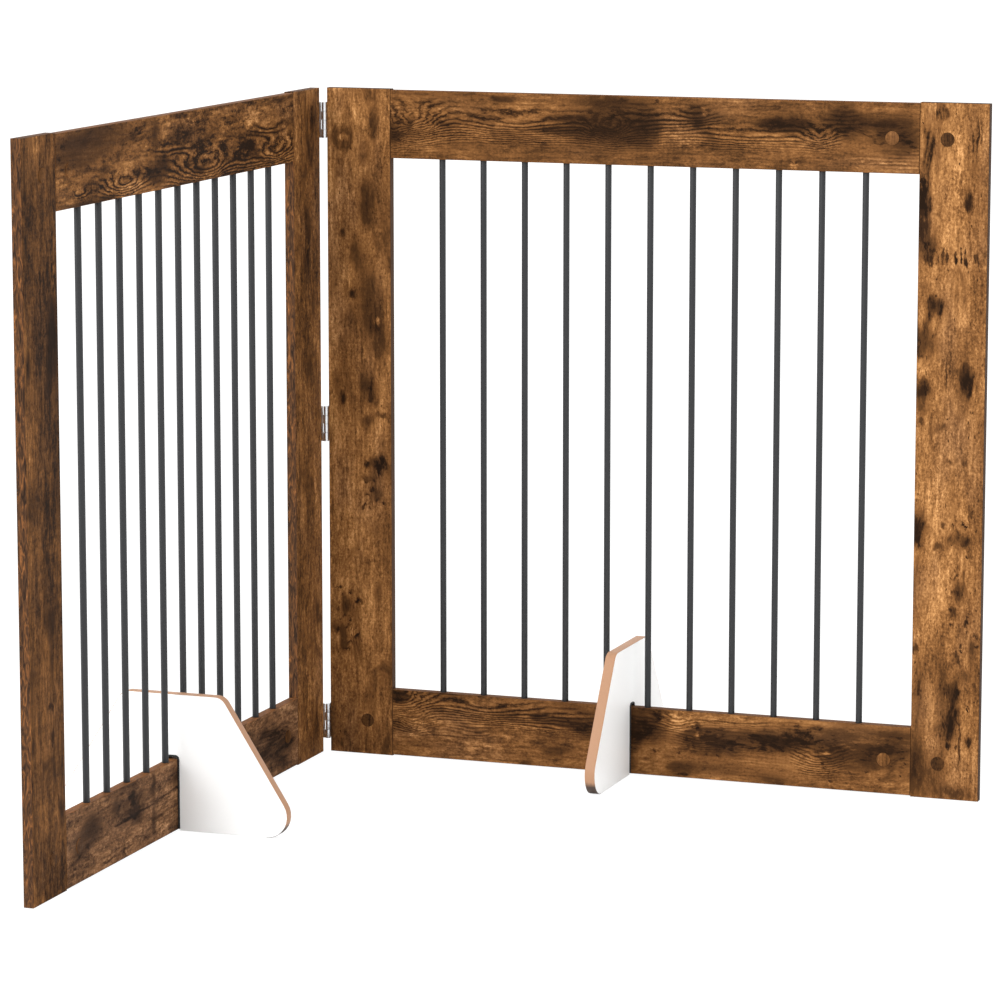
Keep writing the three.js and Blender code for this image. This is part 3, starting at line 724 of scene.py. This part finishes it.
def makeScrew(name, side, place):
    # a low countersunk head with a cross recess, its top towards local +z; the recess faces get a darker grey
    # as painted shade
    bm = bmesh.new()
    bmesh.ops.create_cone(bm, cap_ends=True, cap_tris=False, segments=32, radius1=hinges["screwRadius"],
                          radius2=hinges["screwRadius"] * hinges["screwTaper"], depth=hinges["screwRise"],
                          matrix=Matrix.Translation((0, 0, hinges["screwRise"] / 2)))
    top = max(bm.faces, key=lambda face: face.calc_center_median().z)
    bmesh.ops.inset_region(bm, faces=[top], thickness=hinges["screwRim"])
    for normal in (Vector((1, 0, 0)), Vector((0, 1, 0))):
        for reach in (hinges["crossWidth"] / 2, hinges["crossReach"]):
            cutField(bm, -normal * reach, normal)
            cutField(bm, normal * reach, normal)
    cross = [face for face in bm.faces if face.normal.z > 0.9 and isInCross(face.calc_center_median())]
    bmesh.ops.inset_region(bm, faces=cross, thickness=hinges["crossDraft"], depth=-hinges["crossDepth"])
    for face in cross:
        face.material_index = 1
    bmesh.ops.transform(bm, matrix=place, verts=bm.verts)
    finishPiece(bm, name, bodyOf(side), [zincMaterial, recessShadeMaterial], smoothAngle=25)


def leafScrews(level, side):
    # the leaf's plate lies on the panel's end face; its free side looks away from the panel
    low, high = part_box(f"{level}_hinge_{side}_leaf")
    stileLow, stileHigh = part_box(f"{side}_hinge_stile")
    middleZ = (low.z + high.z) / 2
    for index, way in enumerate((-1, 1)):
        height = middleZ + way * hinges["screwSpacing"] / 2
        if side == "right":
            outer = stileLow.x - hinges["screwBed"]
            spot = Vector((outer, (stileLow.y + stileHigh.y) / 2, height))
            turn = Matrix.Rotation(-math.pi / 2, 4, "Y")
        else:
            outer = stileHigh.y + hinges["screwBed"]
            spot = Vector(((stileLow.x + stileHigh.x) / 2, outer, height))
            turn = Matrix.Rotation(-math.pi / 2, 4, "X")
        makeScrew(f"{level}_hinge_{side}_screw_{index + 1}", side, Matrix.Translation(spot) @ turn)


for level in hinges["levels"]:
    makePin(level)
    for side in ("right", "left"):
        makeLeaf(level, side)
        leafScrews(level, side)
print("hinges made:", len(hinges["levels"]))


# support feet: a white board with its own edge band all round, open below for the rail

feet = {
    "topHalf": 0.060,
    "baseHalf": 0.158,
    "topRound": 0.015,
    "baseRound": 0.025,
    "slotHalf": 0.00815,
    "slotTop": 0.08585,
    "slotRound": 0.005,
    "bandThickness": 0.0004,
    "arris": 0.00018,
    "arcSteps": 10,
    "soleReach": 0.000001,
    "fieldArea": 0.005,
    "white": (244, 244, 243),
    "band": (214, 163, 126),
    # the band's darker colour near the sole is painted shade
    "paintedSoleShade": (92, 74, 64),
    "paintedSoleShadeReach": (0.0105, 0.019),
    "paintedSoleShadeWaver": 0.001,
    "bandGain": 0.62,
    "whiteSheen": 0.3,
    "bandSheen": 0.25,
    "rubber": (30, 29, 29),
}


class Pen:
    # draws an outline of edges in the plane z = 0, straight runs and true arcs
    def __init__(self, start):
        self.bm = bmesh.new()
        self.tip = bmesh.ops.create_vert(self.bm, co=(*start, 0))["vert"][0]

    def lineTo(self, end):
        made = bmesh.ops.extrude_vert_indiv(self.bm, verts=[self.tip])["verts"][0]
        made.co = (*end, 0)
        self.tip = made

    def roundTo(self, before, corner, after, radius):
        into = (Vector(corner) - Vector(before)).normalized()
        out = (Vector(after) - Vector(corner)).normalized()
        turn = into.angle(out)
        side = math.copysign(1, into.x * out.y - into.y * out.x)
        start = Vector(corner) - into * radius * math.tan(turn / 2)
        centre = start + Vector((-into.y, into.x)) * side * radius
        self.lineTo(start)
        spun = bmesh.ops.spin(self.bm, geom=[self.tip], cent=(*centre, 0), axis=(0, 0, 1), angle=side * turn,
                              steps=feet["arcSteps"], use_merge=False)
        self.tip = [item for item in spun["geom_last"] if isinstance(item, bmesh.types.BMVert)][0]

    def close(self):
        bmesh.ops.remove_doubles(self.bm, verts=self.bm.verts, dist=1e-6)
        bmesh.ops.contextual_create(self.bm, geom=self.bm.edges[:])
        return self.bm


def footOutline(height):
    baseLeft, baseRight = (-feet["baseHalf"], 0), (feet["baseHalf"], 0)
    topRight, topLeft = (feet["topHalf"], height), (-feet["topHalf"], height)
    slotLeft, slotRight = (-feet["slotHalf"], 0), (feet["slotHalf"], 0)
    innerLeft, innerRight = (-feet["slotHalf"], feet["slotTop"]), (feet["slotHalf"], feet["slotTop"])
    pen = Pen(slotLeft)
    pen.roundTo(slotLeft, innerLeft, innerRight, feet["slotRound"])
    pen.roundTo(innerLeft, innerRight, slotRight, feet["slotRound"])
    pen.lineTo(slotRight)
    pen.roundTo(slotRight, baseRight, topRight, feet["baseRound"])
    pen.roundTo(baseRight, topRight, topLeft, feet["topRound"])
    pen.roundTo(topRight, topLeft, baseLeft, feet["topRound"])
    pen.roundTo(topLeft, baseLeft, slotLeft, feet["baseRound"])
    pen.lineTo(slotLeft)
    bm = pen.close()
    bmesh.ops.inset_region(bm, faces=bm.faces[:], thickness=feet["bandThickness"], use_even_offset=True,
                           use_boundary=True)
    return bm


def isBandFace(face):
    # the ring's faces apart from the slot's and the sole's; the inner field is the largest face
    if face.calc_area() > feet["fieldArea"]:
        return False
    if sum(vert.co.y < feet["soleReach"] for vert in face.verts) > 1:
        return False
    spot = face.calc_center_median()
    ring = feet["bandThickness"]
    return not (abs(spot.x) < feet["slotHalf"] + ring and spot.y < feet["slotTop"] + ring)


def thicken(bm, thickness):
    made = bmesh.ops.extrude_face_region(bm, geom=bm.faces[:])
    bmesh.ops.translate(bm, vec=(0, 0, thickness), verts=movedVerts(made))
    bmesh.ops.recalc_face_normals(bm, faces=bm.faces)


def footPlace(side):
    # from the outline's plane (across, up) to the foot's place, with its thickness and height
    low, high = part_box(side + "_foot")
    middle, size = (low + high) / 2, high - low
    if side == "right":
        turn = Matrix(((0, 0, 1), (1, 0, 0), (0, 1, 0))).to_4x4()
        return Matrix.Translation((low.x, middle.y, low.z)) @ turn, size.x, size.z
    turn = Matrix(((-1, 0, 0), (0, 0, 1), (0, 1, 0))).to_4x4()
    return Matrix.Translation((middle.x, low.y, low.z)) @ turn, size.y, size.z


def laminateMaterial():
    material, tree, shader = newMaterial("whiteLaminate")
    spot = ownPlace(tree)
    cloud = noise(tree, spot, (14, 14, 14), detail=3)
    pearl = noise(tree, spot, (1500, 1500, 1500), detail=2)
    value = calc(tree, "MULTIPLY_ADD", pearl, 0.004, calc(tree, "MULTIPLY_ADD", cloud, 0.006, 0.99))
    feed(tree, shader.inputs["Base Color"], adjust(tree, shade(*feet["white"]), Value=value))
    feed(tree, shader.inputs["Roughness"], calc(tree, "MULTIPLY_ADD", cloud, 0.04, 0.42))
    shader.inputs["Specular IOR Level"].default_value = feet["whiteSheen"]
    addBump(tree, shader, pearl, 0.12, 0.00005)
    return material


def bandMaterial():
    material, tree, shader = newMaterial("tanEdgeBand")
    spot = ownPlace(tree)
    streak = noise(tree, spot, (620, 620, 24), detail=3, roughness=0.6)
    cloud = noise(tree, spot, (40, 40, 16), detail=2)
    value = calc(tree, "MULTIPLY_ADD", streak, 0.035, calc(tree, "MULTIPLY_ADD", cloud, 0.03, 0.97))
    base = adjust(tree, shade(*feet["band"], feet["bandGain"]), Value=value)
    # painted shade: the band darkens towards the sole, below about 10 to 19 mm, with a wavering edge
    height = calc(tree, "MULTIPLY_ADD", streak, feet["paintedSoleShadeWaver"], split(tree, spot)["Z"])
    paintedSoleShadeMask = between(tree, height, *feet["paintedSoleShadeReach"], 1.0, 0.0)
    base = blendColors(tree, paintedSoleShadeMask, base, shade(*feet["paintedSoleShade"], feet["bandGain"]))
    feed(tree, shader.inputs["Base Color"], base)
    feed(tree, shader.inputs["Roughness"], calc(tree, "MULTIPLY_ADD", streak, 0.05, 0.5))
    shader.inputs["Specular IOR Level"].default_value = feet["bandSheen"]
    addBump(tree, shader, streak, 0.2, 0.00005)
    return material


laminate = laminateMaterial()
edgeBand = bandMaterial()


def finishFoot(bm, name, side, arrisSegments, material, replaced=()):
    place, thickness, _ = footPlace(side)
    thicken(bm, thickness)
    softenEdges(bm, feet["arris"], arrisSegments, limit=60)
    bmesh.ops.transform(bm, matrix=place, verts=bm.verts)
    finishPiece(bm, name, side + "_foot", [material], replaced, smoothAngle=30)


def makeFoot(side):
    height = footPlace(side)[2]
    board = footOutline(height)
    ring = [face for face in board.faces if isBandFace(face)]
    bmesh.ops.delete(board, geom=ring, context="FACES")
    bmesh.ops.dissolve_faces(board, faces=board.faces[:], use_verts=False)
    finishFoot(board, side + "_foot_board", side, 1, laminate, [side + "_foot"])

    band = footOutline(height)
    field = [face for face in band.faces if not isBandFace(face)]
    bmesh.ops.delete(band, geom=field, context="FACES")
    finishFoot(band, side + "_foot_band", side, 2, edgeBand)


def linerMaterial():
    material, tree, shader = newMaterial("blackRubber")
    dust = noise(tree, ownPlace(tree), (300, 300, 300), detail=3)
    dusty = between(tree, dust, -1.0, 1.0, 0.7, 1.4)
    feed(tree, shader.inputs["Base Color"], adjust(tree, shade(*feet["rubber"]), Value=dusty))
    feed(tree, shader.inputs["Roughness"], between(tree, dust, -1.0, 1.0, 0.68, 0.86))
    addBump(tree, shader, dust, 0.3, 0.0001)
    return material


rubber = linerMaterial()
for side in ("right", "left"):
    makeFoot(side)
    dress(side + "_foot_liner", rubber)
print("feet made: 2")


# cover caps over the cam bores, two at each board corner

caps = {
    "radius": 0.0080,
    "rise": 0.0007,
    "rimRound": 0.00030,
    "stemRadius": 0.0072,
    "stemDepth": 0.0006,
    "sides": 40,
    "print": {"Mottle": 0.6, "Lines": 0.9, "Pores": 0.3, "Spacing": 0.0042, "Grain": 1.0, "Speckle": 1.0,
              "Seed": 9.7},
    # how pale the stile's cap and the rail's cap are; None takes the board's own print
    "tones": {
        "right_bottom_hinge": (-0.22, None), "right_bottom_free": (-0.30, -0.12),
        "right_top_hinge": (None, None), "right_top_free": (-0.24, -0.03),
        "left_bottom_hinge": (None, -0.20), "left_bottom_free": (None, None),
        "left_top_hinge": (None, None), "left_top_free": (-0.10, None),
    },
}


def capMaterial(name, tone):
    material, tree, shader = newMaterial("coverCap_" + name)
    spot = split(tree, ownPlace(tree))
    board = join(tree, X=spot[2], Y=calc(tree, "ADD", spot[0], spot[1]))
    face = useGroup(tree, decorGroup, Board=board, Rings=0.0, Stain=0.0, Tone=tone, **caps["print"])
    feed(tree, shader.inputs["Base Color"], face["Color"])
    feed(tree, shader.inputs["Roughness"], face["Roughness"])
    shader.inputs["Specular IOR Level"].default_value = decor["sheen"]
    addBump(tree, shader, face["Height"], 0.3, 0.0001)
    return material


def makeCap(name, body, place, material):
    bm = bmesh.new()
    bmesh.ops.create_cone(bm, cap_ends=True, cap_tris=False, segments=caps["sides"],
                          radius1=caps["radius"], radius2=caps["radius"], depth=caps["rise"],
                          matrix=Matrix.Translation((0, 0, caps["rise"] / 2)))
    under = min(bm.faces, key=lambda face: face.calc_center_median().z)
    bmesh.ops.inset_region(bm, faces=[under], thickness=caps["radius"] - caps["stemRadius"])
    stem = bmesh.ops.extrude_face_region(bm, geom=[under])
    bmesh.ops.delete(bm, geom=[under], context="FACES_ONLY")
    bmesh.ops.translate(bm, vec=(0, 0, -caps["stemDepth"]), verts=movedVerts(stem))
    rim = [edge for edge in bm.edges if all(vert.co.z > caps["rise"] * 0.99 for vert in edge.verts)]
    bmesh.ops.bevel(bm, geom=rim, offset=caps["rimRound"], offset_type="OFFSET", affect="EDGES", segments=3,
                    profile=0.5, material=-1)
    bmesh.ops.transform(bm, matrix=place, verts=bm.verts)
    finishPiece(bm, name, body, [material], smoothAngle=35)


def cornerCaps(side, level, end, tones):
    # the connector's box ends where its two cams do, so they give the caps' places
    low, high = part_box(f"{side}_{level}_{end}_connector")
    boardLow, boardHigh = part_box(f"{side}_hinge_stile")
    camRadius = (high.z - low.z) / 2
    height = (low.z + high.z) / 2
    if side == "right":
        spots = [low.x + camRadius, high.x - camRadius]
        points = [Vector((spot, boardLow.y, height)) for spot in spots]
        turn = Matrix.Rotation(math.pi / 2, 4, "X")
        stileFirst = end == "hinge"
    else:
        spots = [low.y + camRadius, high.y - camRadius]
        points = [Vector((boardHigh.x, spot, height)) for spot in spots]
        turn = Matrix.Rotation(math.pi / 2, 4, "Y")
        stileFirst = end == "free"
    kinds = ("stile", "rail") if stileFirst else ("rail", "stile")
    for kind, point in zip(kinds, points):
        name = f"{side}_{level}_{end}_{kind}_cap"
        tone = tones[0 if kind == "stile" else 1]
        board = f"{side}_{end}_stile" if kind == "stile" else f"{side}_{level}_rail"
        material = nodes[board].data.materials[0] if tone is None else capMaterial(name, tone)
        makeCap(name, bodyOf(side), Matrix.Translation(point) @ turn, material)


for corner, tones in caps["tones"].items():
    cornerCaps(*corner.split("_"), tones)
print("cover caps made:", 2 * len(caps["tones"]))


# fittings inside the boards

fittings = {
    "beechStops": [(0.0, (168, 122, 80)), (1.0, (214, 176, 132))],
    "castColor": (168, 170, 173),
}


def dowelMaterial():
    material, tree, shader = newMaterial("beechDowel")
    fleck = noise(tree, ownPlace(tree), (420, 420, 700), detail=3, roughness=0.6)
    stops = [(place, shade(*color)) for place, color in fittings["beechStops"]]
    feed(tree, shader.inputs["Base Color"], palette(tree, between(tree, fleck, -1.0, 1.0), stops))
    feed(tree, shader.inputs["Roughness"], between(tree, fleck, -1.0, 1.0, 0.6, 0.75))
    addBump(tree, shader, fleck, 0.3, 0.0001)
    return material


beech = dowelMaterial()
castZinc = metalMaterial("castZinc", fittings["castColor"], 0.5)
for side in ("right", "left"):
    for level in ("bottom", "top"):
        for end in ("hinge", "free"):
            dress(f"{side}_{level}_{end}_dowel", beech)
            dress(f"{side}_{level}_{end}_connector", castZinc)
print("inner fittings dressed")


# floor, light and camera

studio = {
    "floorReach": 60.0,
    "floorColor": (0.93, 0.93, 0.93, 1.0),
    "floorDrop": 0.0002,
    "floorGlow": 0.80,
    "glowStrength": 1.15,
    "skyLight": 1.27,
    "skySeen": 1.1,
    "keyStrength": 1.9,
    "keyAngle": 50,
    "keyFrom": (-0.55, -0.86, 0.75),
    "lens": 158.4,
    "cameraPlace": (1.6315, -4.4912, 1.1548),
    "cameraTurn": 19.83,
    "cameraPitch": -9.26,
}


def makeFloor():
    bm = bmesh.new()
    bmesh.ops.create_grid(bm, x_segments=1, y_segments=1, size=studio["floorReach"])
    mesh = bpy.data.meshes.new("studioFloor")
    bm.to_mesh(mesh)
    bm.free()
    floor = bpy.data.objects.new("studioFloor", mesh)
    scene.collection.objects.link(floor)
    floor.location.z = -studio["floorDrop"]
    material, tree, shader = newMaterial("paleFloor")
    shader.inputs["Base Color"].default_value = studio["floorColor"]
    shader.inputs["Roughness"].default_value = 0.9
    shader.inputs["Specular IOR Level"].default_value = 0.0
    glow = addNode(tree, "ShaderNodeEmission", {"Color": (1, 1, 1, 1), "Strength": studio["glowStrength"]})
    seen = addNode(tree, "ShaderNodeLightPath").outputs["Is Camera Ray"]
    both = addNode(tree, "ShaderNodeMixShader", {0: calc(tree, "MULTIPLY", seen, studio["floorGlow"])})
    tree.links.new(shader.outputs[0], both.inputs[1])
    tree.links.new(glow.outputs[0], both.inputs[2])
    tree.links.new(both.outputs[0], tree.nodes["Material Output"].inputs["Surface"])
    mesh.materials.append(material)


def makeSky():
    world = bpy.data.worlds.new("paleStudio")
    world.use_nodes = True
    tree = world.node_tree
    seen = addNode(tree, "ShaderNodeLightPath").outputs["Is Camera Ray"]
    strength = between(tree, seen, 0.0, 1.0, studio["skyLight"], studio["skySeen"])
    feed(tree, tree.nodes["Background"].inputs["Strength"], strength)
    tree.nodes["Background"].inputs["Color"].default_value = (1, 1, 1, 1)
    scene.world = world


def makeKey():
    light = bpy.data.lights.new("softKey", "SUN")
    light.energy = studio["keyStrength"]
    light.angle = math.radians(studio["keyAngle"])
    lamp = bpy.data.objects.new("softKey", light)
    lamp.rotation_euler = Vector(studio["keyFrom"]).to_track_quat("Z", "Y").to_euler()
    scene.collection.objects.link(lamp)


def makeCamera():
    data = bpy.data.cameras.new("frontCamera")
    data.lens = studio["lens"]
    data.sensor_width = 36
    data.clip_end = 200
    camera = bpy.data.objects.new("frontCamera", data)
    camera.location = studio["cameraPlace"]
    camera.rotation_euler = (math.radians(90 + studio["cameraPitch"]), 0, math.radians(studio["cameraTurn"]))
    scene.collection.objects.link(camera)
    scene.camera = camera


makeFloor()
makeSky()
makeKey()
makeCamera()
scene.view_settings.view_transform = "Standard"
print("studio ready")
